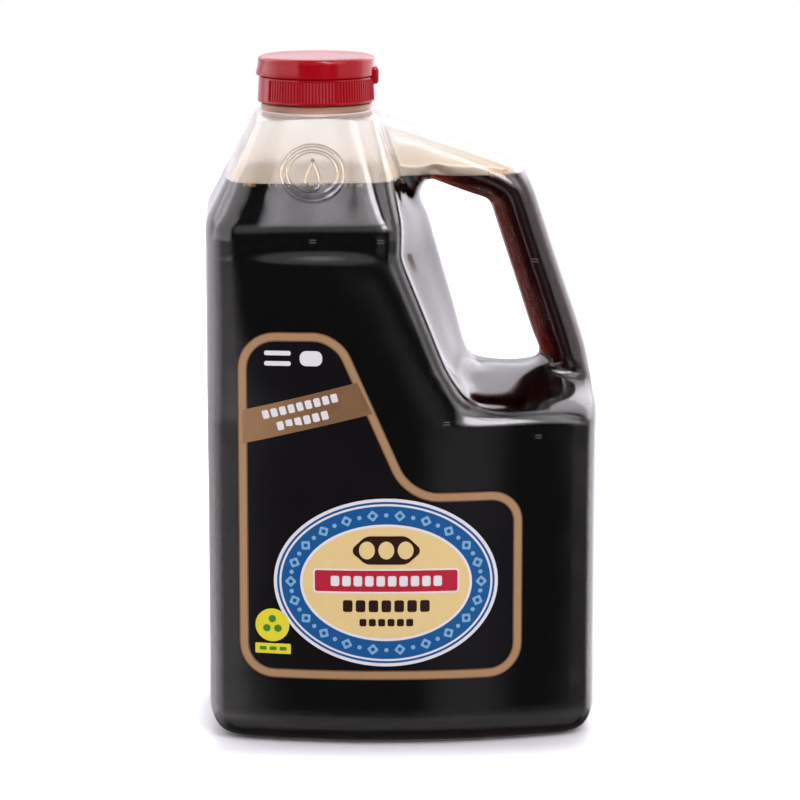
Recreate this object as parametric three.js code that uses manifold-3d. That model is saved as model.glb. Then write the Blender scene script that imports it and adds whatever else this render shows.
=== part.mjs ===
// Soy sauce bottle: a clear family-size jug with a looped side handle, full of dark sauce,
// with a red flip-top cap and a printed label on the front and the back.
// Millimetres, +Z up, +X towards the handle, -Y the front. The origin is under the middle of the base.

import * as THREE from "three";
import { mergeVertices } from "three/addons/utils/BufferGeometryUtils.js";
import Module from "manifold-3d";

const wasm = await Module();
wasm.setup();

// Driving dimensions of the bottle
const LEFT = -67.8; // side away from the handle
const RIGHT = 67.8; // side under the handle
const HALF_DEPTH = 49; // front to the middle plane, at the middle of the bulging panel
const WALL = 1.0;
const FIT_GAP = 0.35; // between pieces that touch
const BLOCK_TOP = 113; // the wide lower body ends here
const WEB_TOP = 126.6; // lower edge of the handle's opening
const PANEL_TOP = 168.5; // the bulging panel ends here
const BREAK = 180.5; // the sides turn in towards the neck here
const SHOULDER_TOP = 215.4;
const NECK_X = -29;
const SAUCE_LEVEL = 194;

// Corners and bulge of the body's plan
const PANEL_RADIUS = 190;
const UPPER_HALF_DEPTH = 47; // at the panel's top
const UPPER_MIDDLE = -32; // the panel's top bulges about this place
const SHOULDER_RADIUS = 480; // the band over the panel is flatter
const SHOULDER_STEP = 1.6; // and lies this far behind the panel's middle
const CORNER = 10.5; // width of a rounded corner, seen from the front
const SIDE_FLAT = 27; // half the flat stretch of a side
const RIDGE_ROUND = 8;
const STEPS = 4; // straight steps for each rounded corner
const PANEL_RINGS = [128, 142, 156]; // heights between the block and the panel's top

// Base: a standing rim round a shallow push-up
const BASE_ROUND_HEIGHT = 12;
const BASE_ROUND_DEPTH = 6.5;
const RIM_WIDTH = 7;
const PUSH_UP = 2.2;

// Handle: a hollow arm and grip round a slanted opening, x and z of its sharp corners and their radii
const GRIP_HALF_DEPTH = 13.5;
const GRIP_ROUND = 8.5;
const OPENING_FLARE = 6;
const OPENING = [
  [5.8, 193.3, 5],
  [25, WEB_TOP, 7],
  [48.7, WEB_TOP, 5.5],
  [29.9, 184.3, 4],
];
const ARM = [
  [-20, 213.4, 10],
  [-20, 180, 10],
  [10, 98, 10],
  [66, 98, 10],
  [68.3, 121, 30],
  [43.9, 196.3, 10],
  [-3.5, 213.4, 12],
];

// Neck and cap
const NECK_RADIUS = 17.9;
const BORE_RADIUS = 16.2;
const COLLAR_RADIUS = 19.3;
const COLLAR_TOP = 218.4;
const NECK_TOP = 225.4;
const CAP_RADIUS = 20.5;
const CAP_BOTTOM = 218.75;
const SEAM = 227.9; // between the cap's base and its lid
const CAP_TOP = 234.7;
const LID_WALL = 1.7;
const DECK = SEAM + 1.4; // raised top of the cap's base, inside the lid
const DECK_RADIUS = 18.2;
const SPOUT_RADIUS = 4.6;
const SPOUT_BORE = 2.4;
const PLUG_RADIUS = 1.9; // on the lid, in the spout's bore
const RIB_PITCH = 4; // degrees round the cap
const RIB_DEPTH = 0.35;
const RIB_SECTOR = 48; // ribs run this many degrees to each side of the front and the back
const HINGE_X = NECK_X + CAP_RADIUS + 1.1; // outer face of the hinge lugs, where the lid turns
const HINGE_HALF_WIDTH = 5.5;

// Label: outline corners seen from the front, x and z, with their radii
const LABEL_THICKNESS = 0.4;
const LABEL_STEPS = 24; // facets across the bulge
const LABEL_OUTLINE = [
  [-57.3, 23.8, 12],
  [-57.3, 145.4, 13],
  [-22.4, 145.4, 14],
  [2, 89.8, 14],
  [40.3, 89.8, 11],
  [40.3, 23.8, 12],
];

// The whole shape of the wall is drawn three times: outside, inside and for the sauce
const mix = (a, b, t) => a + (b - a) * t;
const ramp = (value, from, to) => Math.min(1, Math.max(0, (value - from) / (to - from)));

// Moves every edge of a closed outline inwards by d, for points listed either way round
function insetOutline(points, d) {
  if (d === 0) return points.map((p) => [...p]);
  const turn = Math.sign(THREE.ShapeUtils.area(points.map((p) => new THREE.Vector2(p[0], p[1]))));
  return points.map((p, i) => {
    const before = points[(i + points.length - 1) % points.length];
    const after = points[(i + 1) % points.length];
    const a = new THREE.Vector2(p[0] - before[0], p[1] - before[1]).normalize();
    const b = new THREE.Vector2(after[0] - p[0], after[1] - p[1]).normalize();
    const normal = new THREE.Vector2(-a.y - b.y, a.x + b.x).normalize();
    const miter = d / Math.max(0.35, normal.dot(new THREE.Vector2(-a.y, a.x)));
    const convex = Math.sign(a.cross(b)) * turn;
    const radius = p[2] === undefined ? [] : [Math.max(0.4, p[2] - convex * d)];
    return [p[0] + normal.x * miter * turn, p[1] + normal.y * miter * turn, ...radius];
  });
}

// A closed shape with rounded corners
function roundedShape(corners, PathClass = THREE.Shape) {
  const at = corners.map((c) => new THREE.Vector2(c[0], c[1]));
  const path = new PathClass();
  corners.forEach((corner, i) => {
    const p = at[i];
    const before = at[(i + at.length - 1) % at.length].clone().sub(p).normalize();
    const after = at[(i + 1) % at.length].clone().sub(p).normalize();
    const halfAngle = Math.acos(THREE.MathUtils.clamp(before.dot(after), -1, 1)) / 2;
    const reach = corner[2] / Math.tan(halfAngle);
    const start = p.clone().addScaledVector(before, reach);
    const end = p.clone().addScaledVector(after, reach);
    if (i === 0) path.moveTo(start.x, start.y);
    else path.lineTo(start.x, start.y);
    path.quadraticCurveTo(p.x, p.y, end.x, end.y);
  });
  path.closePath();
  return path;
}

// Front of the bulging panel at x, for a bulge of this radius and a middle at this depth
const panelY = (x, radius, depth) => radius - depth - Math.sqrt(radius ** 2 - x ** 2);

// Adds the front of a panel between two places to a path, in even steps
function panel(path, from, to, y) {
  const steps = 2 * STEPS;
  for (let i = 1; i <= steps; i++) {
    const x = mix(from, to, i / steps);
    path.lineTo(x, y(x));
  }
}

// A closed ring of points [x, y] from its front half, which runs from the left to the right end
function mirroredRing(frontHalf) {
  const points = frontHalf.getPoints(STEPS).map((p) => [p.x, p.y]);
  const back = points.slice(1, -1).reverse().map(([x, y]) => [x, -y]);
  return [...points, ...back];
}

// Lays closed rings with equal counts of points on each other and shuts both ends
function loft(rings) {
  const count = rings[0].points.length;
  const position = [];
  const index = [];
  for (const ring of rings) {
    for (const [x, y] of ring.points) position.push(x, y, ring.z);
  }
  for (let k = 0; k + 1 < rings.length; k++) {
    for (let i = 0; i < count; i++) {
      const j = (i + 1) % count;
      const [a, b, c, d] = [k * count + i, k * count + j, (k + 1) * count + j, (k + 1) * count + i];
      index.push(a, b, c, a, c, d);
    }
  }
  for (const [k, up] of [[0, false], [rings.length - 1, true]]) {
    const ring = rings[k].points;
    const middle = position.length / 3;
    const mean = (axis) => ring.reduce((sum, p) => sum + p[axis], 0) / count;
    position.push(mean(0), mean(1), rings[k].z);
    for (let i = 0; i < count; i++) {
      const j = (i + 1) % count;
      index.push(...(up ? [k * count + i, k * count + j, middle] : [k * count + j, k * count + i, middle]));
    }
  }
  const geometry = new THREE.BufferGeometry();
  geometry.setAttribute("position", new THREE.Float32BufferAttribute(position, 3));
  geometry.setIndex(index);
  return geometry;
}

// Library solids from geometries, and back
function solid(geometry) {
  const bare = geometry.clone();
  for (const name of ["normal", "uv"]) bare.deleteAttribute(name);
  const merged = mergeVertices(bare, 1e-4);
  const vertProperties = new Float32Array(merged.attributes.position.array);
  const triVerts = new Uint32Array(merged.index.array);
  return new wasm.Manifold(new wasm.Mesh({ numProp: 3, vertProperties, triVerts }));
}

function geometryOf(manifold) {
  const mesh = manifold.getMesh();
  const geometry = new THREE.BufferGeometry();
  geometry.setAttribute("position", new THREE.BufferAttribute(mesh.vertProperties, 3));
  geometry.setIndex(new THREE.BufferAttribute(mesh.triVerts, 1));
  geometry.computeVertexNormals();
  return geometry;
}

// Plan of the wide lower body, with the bulging panel at the front and the back
function blockPlan(left, right, depth, side) {
  const [from, to] = [left + CORNER, right - CORNER];
  const y = (x) => panelY(x, PANEL_RADIUS, depth);
  const path = new THREE.Path();
  path.moveTo(left, 0);
  path.lineTo(left, -side);
  path.quadraticCurveTo(left, y(left), from, y(from));
  panel(path, from, to, y);
  path.quadraticCurveTo(right, y(right), right, -side);
  path.lineTo(right, 0);
  return mirroredRing(path);
}

// The wide lower body from its push-up to the sloping roof under the handle's opening
function block(inset) {
  const base = (d) => blockPlan(LEFT + d, RIGHT - d, HALF_DEPTH - d, SIDE_FLAT - 0.4 * d);
  const rings = [];
  const add = (z, points) => rings.push({ z, points });
  add(PUSH_UP + inset, base(BASE_ROUND_DEPTH + RIM_WIDTH + 9));
  add(PUSH_UP * 0.6 + inset, base(BASE_ROUND_DEPTH + RIM_WIDTH + 2));
  add(inset, base(BASE_ROUND_DEPTH + RIM_WIDTH));
  for (let i = 0; i <= STEPS; i++) {
    const turn = (i / STEPS) * (Math.PI / 2);
    const rise = (BASE_ROUND_HEIGHT - inset) * (1 - Math.cos(turn));
    add(inset + rise, base(inset + (BASE_ROUND_DEPTH - inset) * (1 - Math.sin(turn))));
  }
  add(BLOCK_TOP - inset, base(inset));
  const roof = (depth, side, in_) => blockPlan(-6, RIGHT - in_ - inset, depth - inset, side - inset / 2);
  add(BLOCK_TOP + 0.2 - inset, roof(HALF_DEPTH - 1.2, SIDE_FLAT - 1, 1));
  add(BLOCK_TOP + 3 - inset, roof(HALF_DEPTH - 6, SIDE_FLAT - 4, 1.4));
  add(WEB_TOP - 1 - inset, roof(23, 6, 2.6));
  add(WEB_TOP - inset, roof(20, 4, 3.6));
  return solid(loft(rings));
}

// Slanted ridge of the upper body, and the nose that runs back to the handle's opening
const ridgeX = (z) => mix(21.9, -0.4, ramp(z, BLOCK_TOP, PANEL_TOP));
const noseX = (z) => mix(28.9, 7, ramp(z, BLOCK_TOP, 189));

// Front of the body at height z, as a function of x. Its bulge moves over as the panel narrows.
function frontAt(z, step = 0, radius = PANEL_RADIUS) {
  const up = ramp(z, BLOCK_TOP, PANEL_TOP);
  const middle = mix(0, UPPER_MIDDLE, up);
  const depth = mix(HALF_DEPTH, UPPER_HALF_DEPTH, up) - step;
  return (x) => panelY(x - middle, radius, depth);
}

// Plan of the upper body at height z
function upperPlan(z, step = 0, radius = PANEL_RADIUS) {
  const y = frontAt(z, step, radius);
  const ridge = ridgeX(z);
  const nose = noseX(z);
  const path = new THREE.Path();
  path.moveTo(LEFT, 0);
  path.lineTo(LEFT, -SIDE_FLAT);
  path.quadraticCurveTo(LEFT, y(LEFT), LEFT + CORNER, y(LEFT + CORNER));
  panel(path, LEFT + CORNER, ridge - RIDGE_ROUND, y);
  path.quadraticCurveTo(ridge, y(ridge), ridge, y(ridge) + RIDGE_ROUND);
  path.lineTo(ridge + 0.8, -24);
  path.lineTo(nose - 2, -6);
  path.quadraticCurveTo(nose, -4, nose, 0);
  return mirroredRing(path);
}

// Plan of the shoulder's top: a rounded square about the neck, with the same count of points
function topPlan(half, corner) {
  const path = new THREE.Path();
  const [left, right] = [NECK_X - half, NECK_X + half];
  path.moveTo(left, 0);
  path.lineTo(left, corner - half);
  path.quadraticCurveTo(left, -half, left + corner, -half);
  panel(path, left + corner, right - corner, () => -half);
  path.quadraticCurveTo(right, -half, right, corner - half);
  path.lineTo(right, -half * 0.3);
  path.lineTo(right, -half * 0.2);
  path.quadraticCurveTo(right, -half * 0.1, right, 0);
  return mirroredRing(path);
}

function upperBody(inset) {
  const rings = [];
  const add = (z, points, extra = 0) => rings.push({ z, points: insetOutline(points, inset + extra) });
  const band = (z) => upperPlan(z, SHOULDER_STEP, SHOULDER_RADIUS);
  add(BLOCK_TOP - 6, upperPlan(BLOCK_TOP), 3);
  add(BLOCK_TOP - 0.1, upperPlan(BLOCK_TOP), 0.02);
  for (const z of [...PANEL_RINGS, PANEL_TOP]) add(z, upperPlan(z));
  add(PANEL_TOP + 5, band(PANEL_TOP + 5));
  add(BREAK - 1.5, band(BREAK));
  add(BREAK + 1, band(BREAK), 0.7);
  add(SHOULDER_TOP - 1 - inset, topPlan(21, 8));
  add(SHOULDER_TOP - inset, topPlan(20, 9));
  return solid(loft(rings));
}

// A slab about the middle plane, from an outline in x and z and its [depth, inset] steps to one face
function slab(corners, steps) {
  const ring = (inset) => {
    const points = roundedShape(insetOutline(corners, inset)).getPoints(STEPS).map((p) => [p.x, p.y]);
    return points.slice(0, -1);
  };
  const front = steps.map(([depth, inset]) => ({ z: -depth, points: ring(inset) }));
  const back = steps.map(([depth, inset]) => ({ z: depth, points: ring(inset) })).reverse();
  const geometry = loft([...front, ...back]);
  geometry.rotateX(Math.PI / 2);
  return solid(geometry);
}

// Steps of a quarter-round edge on a slab, from its face to its full outline
function roundedEdge(halfDepth, depth, inset) {
  const steps = [];
  for (let i = 0; i <= STEPS - 1; i++) {
    const turn = (i / (STEPS - 1)) * (Math.PI / 2);
    steps.push([halfDepth - depth * (1 - Math.cos(turn)), inset * (1 - Math.sin(turn))]);
  }
  return steps;
}

// The handle: arm and grip, with round edges, about the middle plane
function handle(inset) {
  const depth = GRIP_HALF_DEPTH - inset;
  const body = slab(ARM, roundedEdge(depth, GRIP_ROUND, GRIP_ROUND - inset).map(([y, d]) => [y, d + inset]));
  const flare = roundedEdge(depth, GRIP_ROUND, inset - OPENING_FLARE).map(([y, d]) => [y, d - inset]);
  return body.subtract(slab(OPENING, [[depth + 1, -OPENING_FLARE], ...flare]));
}

// A straight prism through the handle's opening
const openingPrism = (inset) => slab(OPENING, [[HALF_DEPTH, -inset]]);

// A solid of revolution about the neck's axis from [radius, z] points
function turned(profile, segments = 40) {
  const geometry = new THREE.LatheGeometry(profile.map(([r, z]) => new THREE.Vector2(r, z)), segments);
  geometry.rotateX(Math.PI / 2);
  geometry.translate(NECK_X, 0, 0);
  return geometry;
}

function boxAt(x0, x1, y0, y1, z0, z1) {
  const geometry = new THREE.BoxGeometry(x1 - x0, y1 - y0, z1 - z0);
  geometry.translate((x0 + x1) / 2, (y0 + y1) / 2, (z0 + z1) / 2);
  return geometry;
}

// Everything of the bottle's form under the neck, drawn this far inside its outer face
const bottleForm = (inset) =>
  block(inset).add(upperBody(inset)).add(handle(inset)).subtract(openingPrism(inset));

function bottleShell() {
  const neck = turned([
    [0, SHOULDER_TOP - 4],
    [COLLAR_RADIUS, SHOULDER_TOP - 4],
    [COLLAR_RADIUS, COLLAR_TOP - 0.4],
    [COLLAR_RADIUS - 0.4, COLLAR_TOP],
    [NECK_RADIUS, COLLAR_TOP],
    [NECK_RADIUS, NECK_TOP - 0.5],
    [NECK_RADIUS - 0.5, NECK_TOP],
    [0, NECK_TOP],
  ]);
  const bore = turned([
    [0, SHOULDER_TOP - 6],
    [BORE_RADIUS, SHOULDER_TOP - 6],
    [BORE_RADIUS, NECK_TOP + 1],
    [0, NECK_TOP + 1],
  ]);
  return bottleForm(0).add(solid(neck)).subtract(bottleForm(WALL)).subtract(solid(bore));
}

function sauce() {
  const below = solid(boxAt(LEFT, RIGHT, -HALF_DEPTH, HALF_DEPTH, -1, SAUCE_LEVEL));
  return bottleForm(WALL + FIT_GAP).intersect(below);
}

// Outline of the cap's grip: fine ribs at the front and back, plain at both sides
function gripShape(radius) {
  const shape = new THREE.Shape();
  const ribs = Math.round((2 * RIB_SECTOR) / RIB_PITCH);
  const polar = (r, degrees) => {
    const a = THREE.MathUtils.degToRad(degrees);
    return [r * Math.cos(a), r * Math.sin(a)];
  };
  shape.moveTo(...polar(radius, -90 - RIB_SECTOR));
  for (const middle of [-90, 90]) {
    for (let i = 0; i < ribs; i++) {
      const start = middle - RIB_SECTOR + i * RIB_PITCH;
      shape.lineTo(...polar(radius - RIB_DEPTH, start + RIB_PITCH / 2));
      shape.lineTo(...polar(radius, start + RIB_PITCH));
    }
    for (let i = 1; i < 10; i++) {
      shape.lineTo(...polar(radius, middle + RIB_SECTOR + (i * (180 - 2 * RIB_SECTOR)) / 10));
    }
  }
  shape.closePath();
  return shape;
}

// Hinge lug at the handle side, fused to the cap's base or to its lid
const hingeLug = (z0, z1) =>
  solid(boxAt(NECK_X + CAP_RADIUS - 1.5, HINGE_X, -HINGE_HALF_WIDTH, HINGE_HALF_WIDTH, z0, z1));

function capBase() {
  const ribsBottom = CAP_BOTTOM + 0.6;
  const ribsTop = SEAM - 1.9;
  const grip = new THREE.ExtrudeGeometry(gripShape(CAP_RADIUS), {
    depth: ribsTop - ribsBottom,
    bevelEnabled: false,
    curveSegments: STEPS,
  });
  grip.translate(NECK_X, 0, ribsBottom);
  const inner = NECK_RADIUS + FIT_GAP;
  const body = turned([
    [0, CAP_BOTTOM + 1],
    [CAP_RADIUS - 1.2, CAP_BOTTOM + 1],
    [CAP_RADIUS - 0.5, CAP_BOTTOM],
    [CAP_RADIUS - 0.1, ribsBottom + 0.1],
    [CAP_RADIUS - 1.2, ribsBottom + 0.3],
    [CAP_RADIUS - 1.2, ribsTop - 0.2],
    [CAP_RADIUS - 0.2, ribsTop - 0.1],
    [CAP_RADIUS - 0.4, SEAM - 0.4],
    [DECK_RADIUS, SEAM - 0.4],
    [DECK_RADIUS - 0.3, DECK],
    [SPOUT_RADIUS, DECK],
    [SPOUT_RADIUS - 0.6, DECK + 1.6],
    [0, DECK + 1.6],
  ]);
  const hollow = turned([
    [0, CAP_BOTTOM - 1],
    [inner, CAP_BOTTOM - 1],
    [inner, NECK_TOP + FIT_GAP],
    [SPOUT_BORE, NECK_TOP + FIT_GAP],
    [SPOUT_BORE, CAP_TOP],
    [0, CAP_TOP],
  ]);
  return solid(body).add(solid(grip)).add(hingeLug(SEAM - 3, SEAM - 0.3)).subtract(solid(hollow));
}

function capLid() {
  const wallInner = CAP_RADIUS - LID_WALL;
  const roof = CAP_TOP - 1.7;
  const plug = turned([
    [0, SEAM + 0.6],
    [PLUG_RADIUS, SEAM + 0.6],
    [PLUG_RADIUS, roof],
    [0, roof],
  ]);
  const cover = turned([
    [0, roof - 0.3],
    [wallInner, roof - 0.3],
    [wallInner, SEAM],
    [CAP_RADIUS - 0.4, SEAM],
    [CAP_RADIUS, SEAM + 0.4],
    [CAP_RADIUS, CAP_TOP - 2.1],
    [CAP_RADIUS - 0.6, CAP_TOP - 0.8],
    [CAP_RADIUS - 2, CAP_TOP - 0.1],
    [CAP_RADIUS - 3.2, CAP_TOP],
    [0, CAP_TOP],
  ]);
  const lipShape = new THREE.Shape();
  lipShape.moveTo(-CAP_RADIUS + 1, -9);
  lipShape.quadraticCurveTo(-CAP_RADIUS - 1.9, 0, -CAP_RADIUS + 1, 9);
  lipShape.closePath();
  const lip = new THREE.ExtrudeGeometry(lipShape, { depth: 1.8, bevelEnabled: false, curveSegments: 8 });
  lip.translate(NECK_X, 0, SEAM + 0.9);
  return solid(cover).add(solid(plug)).add(solid(lip)).add(hingeLug(SEAM + 0.1, SEAM + 2));
}

// A thin plate that follows the bulging panel. side is -1 for the front and 1 for the back.
function label(side) {
  const outline = roundedShape(LABEL_OUTLINE);
  const plate = new THREE.ExtrudeGeometry(outline, {
    depth: HALF_DEPTH,
    bevelEnabled: false,
    curveSegments: STEPS,
  });
  plate.rotateX(Math.PI / 2);
  plate.translate(0, -HALF_DEPTH / 3, 0);
  const body = (proud) => {
    const ring = (z) => {
      const y = frontAt(z);
      const points = [[RIGHT, 0], [LEFT, 0]];
      for (let i = 0; i <= LABEL_STEPS; i++) {
        const x = mix(LEFT, RIGHT, i / LABEL_STEPS);
        points.push([x, y(x) - proud]);
      }
      return { z, points };
    };
    return solid(loft([0, BLOCK_TOP, ...PANEL_RINGS].map(ring)));
  };
  const skin = body(FIT_GAP + LABEL_THICKNESS).subtract(body(FIT_GAP)).intersect(solid(plate));
  return side < 0 ? skin : skin.mirror([0, 1, 0]);
}

// Finishes
const clear = new THREE.MeshStandardMaterial({ color: 0xe9ddcb, roughness: 0.08, metalness: 0 });
const dark = new THREE.MeshStandardMaterial({ color: 0x1c0b0a, roughness: 0.1, metalness: 0 });
const red = new THREE.MeshStandardMaterial({ color: 0xc8102a, roughness: 0.35, metalness: 0 });
const film = new THREE.MeshStandardMaterial({ color: 0x17130f, roughness: 0.3, metalness: 0 });

const bottle = new THREE.Group();
function piece(name, manifold, material) {
  const mesh = new THREE.Mesh(geometryOf(manifold), material);
  mesh.name = name;
  bottle.add(mesh);
}

piece("bottle", bottleShell(), clear);
piece("soy_sauce", sauce(), dark);
piece("cap_base", capBase(), red);
piece("cap_lid", capLid(), red);
piece("front_label", label(-1), film);
piece("back_label", label(1), film);

export default bottle;
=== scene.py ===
import math
import random
from functools import cache

import bmesh
import bpy
from bpy.props import FloatProperty, FloatVectorProperty, PointerProperty
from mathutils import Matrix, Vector
from mathutils.bvhtree import BVHTree


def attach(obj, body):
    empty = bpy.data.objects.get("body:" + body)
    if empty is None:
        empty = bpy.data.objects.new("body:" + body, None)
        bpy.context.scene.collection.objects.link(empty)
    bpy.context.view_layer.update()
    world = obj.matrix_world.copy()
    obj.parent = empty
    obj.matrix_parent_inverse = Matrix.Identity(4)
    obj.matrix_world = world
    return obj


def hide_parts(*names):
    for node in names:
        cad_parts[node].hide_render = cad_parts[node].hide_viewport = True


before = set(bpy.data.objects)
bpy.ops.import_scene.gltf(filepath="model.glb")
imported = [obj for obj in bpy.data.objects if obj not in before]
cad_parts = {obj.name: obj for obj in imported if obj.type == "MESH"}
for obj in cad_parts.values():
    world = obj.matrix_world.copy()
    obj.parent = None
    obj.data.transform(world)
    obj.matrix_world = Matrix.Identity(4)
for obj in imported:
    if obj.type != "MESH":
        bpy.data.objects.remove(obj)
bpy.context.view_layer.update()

bl_info = {
    "name": "Soy Sauce Jug",
    "version": (1, 0, 0),
    "blender": (4, 5, 0),
    "location": "3D View > Sidebar > Soy Sauce Jug",
    "description": "Builds a clear handled jug full of dark sauce, with a red flip-top cap and labels",
    "category": "Add Mesh",
}

MM = 0.001  # the pieces are modelled in millimetres and scaled once

# The jug's driving sizes, in millimetres, +X towards the handle and -Y the front
LEFT, RIGHT = -67.6, 67.62
HALF_DEPTH = 49.0
CORNER = 10.5
SIDE_FLAT = 27.0
PANEL_RADIUS = 190.0
UPPER_HALF_DEPTH = 47.0
UPPER_MIDDLE = -32.0
SHOULDER_RADIUS = 480.0
SHOULDER_STEP = 1.6
RIDGE_ROUND = 8.0
BLOCK_TOP = 113.0
PANEL_TOP = 168.5
BREAK = 180.5
SHOULDER_TOP = 215.4
NECK_X = -29.0
COLLAR_RADIUS = 19.3
COLLAR_TOP = 218.4
NECK_RADIUS = 17.9
NECK_TOP = 225.4
CAP_RADIUS = 20.5
CAP_BOTTOM = 218.75
SEAM = 227.9
CAP_TOP = 234.7
RIDGE_X = (21.9, -0.4)  # at the block's top and at the panel's
NOSE_X = (28.9, 7.0)  # of the handle's web, at the block's top and at NOSE_TOP
NOSE_TOP = 189.0
HINGE_X = NECK_X + CAP_RADIUS + 1.1
SAUCE_OVERLAP = 0.15  # how far the sauce reaches into the wall
WELL_OUTSIDE = 200  # depth from which rays find the jug's faces

# Columns round the body: 0 is the middle of the left side, LAST the middle of the right side
LAST = 15
ROUND = 2 * LAST
HOLE_COLUMN = LAST - 2  # the handle's stubs are this column and those behind it
GRIP_ROWS = ("roof_1", "roof_3")
ARM_ROWS = ("arm_low", "arm_high")

# Where the columns lie: y on the sides, shares of the front's width, x on the block's right part, and
# degrees round the neck
SIDE_Y = -14
ACROSS = (0.27, 0.54, 0.8)
BLOCK_X = (14, 23, 40)
NECK_ANGLES = (180, 195, 210, 225, 240, 253, 267, 282, 297, 311, 324, 333, 339, 345, 352, 360)

# Rows of the lower body: height, how far the plan is drawn in, and how far the panel is sunk
BLOCK_ROWS = {
    "push_up": (2.2, 24), "push_edge": (1.3, 16), "rim_in": (0.24, 12.5), "rim_out": (0.24, 8.0),
    "round_low": (2.3, 3.2), "round_high": (7.5, 0.5), "bumper_low": (12.5,), "bumper_high": (20.0,),
    "panel_foot": (26.0, 0.1, 0.3), "panel_1": (34.0, 0.1, 0.36), "panel_2": (58.0, 0.1, 0.33),
    "panel_3": (88.0, 0.1, 0.25), "edge_low": (107.0,), "edge_mid": (112.0,),
}

# Rows over the block's top edge: height, then the places of the last columns, which roll over the roof
ROOF_ROWS = {
    "edge_high": (114.5, (22.3, -46.9, 114.3), (39.0, -43.8, 115), (56, -38.6, 115.2), (63.7, -31.5, 115.4),
                  (67.3, -21.4, 115.6), (67.58, -10, 115.2), (67.62, 0, 115)),
    "roof_0": (116.6, (20.7, -46.5, 116.4), (35.6, -42.2, 116.3), (52.0, -36.6, 116.9), (60.5, -29, 117.6),
               (65.8, -18.2, 118.0), (67.5, -8.8, 118), (67.58, 0, 118)),
    "roof_1": (118.9, (19.2, -46.2, 118.6), (31.2, -41.0, 117.2), (45, -34.9, 118.2), (54, -26.8, 119.6),
               (63.8, -12.6, 121.4), (67.1, -6.8, 121), (67.5, 0, 121)),
    "roof_2": (121.2, (17.9, -46.0, 120.9), (27.0, -40.2, 118.1), (37, -33.6, 119.1), (45, -25.2, 121.0),
               (55, -13.8, 123.8), (57, -6.8, 125), (57, 0, 125)),
    "roof_3": (123.6, (16.6, -45.8, 123.3), (23.4, -39.6, 119.7), (29.3, -32.8, 120.3), (35, -24.4, 122.2),
               (45.2, -11.6, 125.6), (45.2, -6, 126.5), (45, 0, 126.7)),
    "roof_4": (126.3, (15.3, -45.5, 126.0), (20.4, -39.1, 122.4), (22.9, -32.3, 122.4), (26.0, -24.0, 123.6),
               (34.5, -12.2, 125.4), (34.2, -6, 126.5), (34, 0, 126.7)),
    "roof_5": (129.5, (13.8, -45.2, 129.2), (17.4, -38.8, 126.6), (18.4, -32.0, 126.4), (20.0, -23.8, 126.8),
               (25.6, -12.7, 127.4), (27.0, -6.2, 127.7), (27.4, 0, 127.8)),
}

# Rows of the shoulder by the handle's arm: height, then the places of the last columns
ARM_STUB_ROWS = {
    "arm_low": (187.5, (3.6, -12.3, 187), (6.6, -6.2, 187), (7.5, 0, 187)),
    "arm_mid": (200, (-4.8, -24.5, 200), (-4.4, -21, 200), (-3.6, -17.6, 200), (-0.8, -13.9, 200),
                (3, -7, 200), (4, 0, 200)),
    "arm_high": (211.5, (-8.2, -17.8, 211.5), (-7.5, -16.2, 211.4), (-6.8, -14.5, 211.3),
                 (-5.6, -12.2, 211.2), (-4.2, -6.4, 212.6), (-3.8, 0, 213.0)),
}
SHOULDER_END = [(-11.4, -18.0, 215), (-9.6, -15.4, 215), (-9.0, -13.6, 215), (-8.7, -11.8, 215),
                (-8.5, -9.4, 215), (-8.3, -5, 215), (-8.2, 0, 215.1)]

# Section of the handle: share of the way from its inner to its outer side, and y
SECTION = {
    ("in", 13): (0.22, -9.2), ("in", 14): (0.065, -4.4), ("in", 15): (0.0, 0.0),
    ("mid", 13): (0.44, -13.2),
    ("out", 13): (0.80, -11.5), ("out", 14): (0.955, -6.6), ("out", 15): (1.0, 0.0),
}

# Stations of the handle from the grip's foot to the neck: x and z of the inner and the outer side, and width
STATIONS = [
    ((49.0, 130.6), (66.8, 126.4), 0.98),
    ((47.0, 136.5), (65.2, 133.6), 0.97),
    ((43.2, 147.9), (61.4, 145.6), 0.97),
    ((38.7, 161.6), (56.2, 160.6), 0.97),
    ((34.3, 175.0), (51.2, 175.6), 0.97),
    ((32.1, 181.6), (48.3, 184.6), 0.98),
    ((30.3, 184.3), (45.2, 191.9), 1.0),
    ((26.0, 185.9), (40.0, 197.2), 1.0),
    ((19.6, 188.2), (29.5, 201.5), 1.0),
    ((13.8, 190.4), (18.6, 205.4), 1.0),
    ((9.9, 191.0), (7.0, 209.6), 1.0),
]

# Cap: ribs round the base, and the plain arcs at the thumb lip and at the hinge, in degrees either way
RIBS = 108
PLAIN_BY_LIP, PLAIN_BY_HINGE = 35, 14
LIP_FADE = (32, 14)  # degrees from the left, where the thumb lip starts and is full
HINGE_HALF_WIDTH = 5.5
HINGE_DEPTH = (4, 0.1)  # how far inside HINGE_X the hinge starts and ends
HINGE_HEIGHT = 3
HINGE_ROUND = 1.3
SEAM_GAP = 0.1

# Labels, in x and z seen from the front: the outline's corners with their radii, and the slanted band's
LABEL_OUTLINE = [
    (-57.3, 23.8, 12), (-57.3, 145.4, 13), (-22.4, 145.4, 14),
    (2, 89.8, 14), (40.3, 89.8, 11), (40.3, 23.8, 12)]
BAND_CORNERS = [(-55.5, 105.9, 0), (-55.5, 117.7, 0), (-16.6, 128.0, 0), (-11.5, 117.2, 0)]
BAND_SLOPE = 15.0
BAND_SHADE_X = -41
FILM_LIFT = 0.12
LAYER = 0.025
PRINT_GRID = 3.0
OVAL_X, OVAL_Z = -6.8, 58.3
OVAL_WIDE, OVAL_HIGH = 38.4, 29.5
RIBBON_Z = OVAL_Z + 0.6
BEADS = 44
BEADS_INSET = 5.8
SIGN_X, SIGN_Z = -45.8, 42.6
SIGN_BAR_Z = 34.3

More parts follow.
